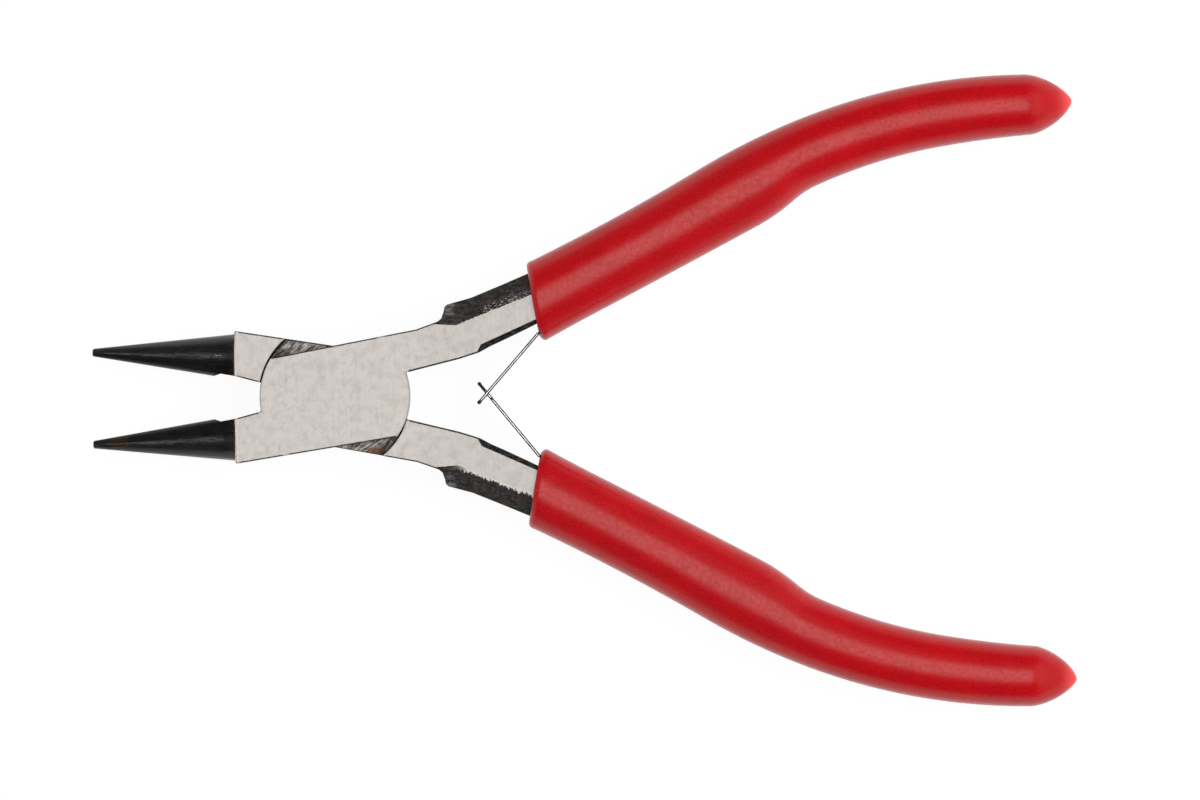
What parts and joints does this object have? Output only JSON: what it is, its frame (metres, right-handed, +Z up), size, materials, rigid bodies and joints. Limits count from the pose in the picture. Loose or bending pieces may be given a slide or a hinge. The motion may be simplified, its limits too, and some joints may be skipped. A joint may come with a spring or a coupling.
{
  "type": "round nose pliers",
  "caption": "Small round nose pliers: tapering round jaws, flat lap joint with a flush rivet, red dipped sleeves on bowed handles and crossed leaf springs.",
  "frame": {"origin": "on the rivet's axis, at the underside of the joint, in the plane that the tool lies on", "axes": "+X from the rivet towards the handles along the closing plane, +Z up through the joint along the rivet"},
  "size_m": [0.1227, 0.079, 0.009],
  "materials": {
    "forged_steel": "cross-ground faces over black forged skin",
    "grip_red": "satin red PVC",
    "spring_steel": "bright spring strip"
  },
  "bodies": {
    "front_half": {"front_half": "forged_steel", "pivot_rivet": "forged_steel", "upper_grip": "grip_red", "slotted_spring_foot": "spring_steel", "upper_spring_rivet": "spring_steel"},
    "rear_half": {"rear_half": "forged_steel", "lower_grip": "grip_red", "tongued_spring_foot": "spring_steel", "lower_spring_rivet": "spring_steel"},
    "slotted_blade": {"slotted_spring_blade": "spring_steel"},
    "tongued_blade": {"tongued_spring_blade": "spring_steel"}
  },
  "joints": [
    {"name": "pivot", "type": "hinge", "parent": "front_half", "child": "rear_half", "pos_m": [0, 0, 0.0045], "axis": [0, 0, 1], "range_deg": [-4, 19.6], "stiffness_Nm_per_rad": 0.9},
    {"name": "slotted_flex", "type": "hinge", "parent": "front_half", "child": "slotted_blade", "pos_m": [0.02543, 0.00761, 0.0045], "axis": [0, 0, 1], "range_deg": [-22, 4.7]},
    {"name": "tongued_flex", "type": "hinge", "parent": "rear_half", "child": "tongued_blade", "pos_m": [0.02543, -0.00761, 0.0045], "axis": [0, 0, 1], "range_deg": [-4.7, 22]}
  ],
  "couplings": [
    {"joint": "slotted_flex", "follows": "pivot", "ratio": -1.087},
    {"joint": "tongued_flex", "follows": "pivot", "ratio": 1.087}
  ]
}
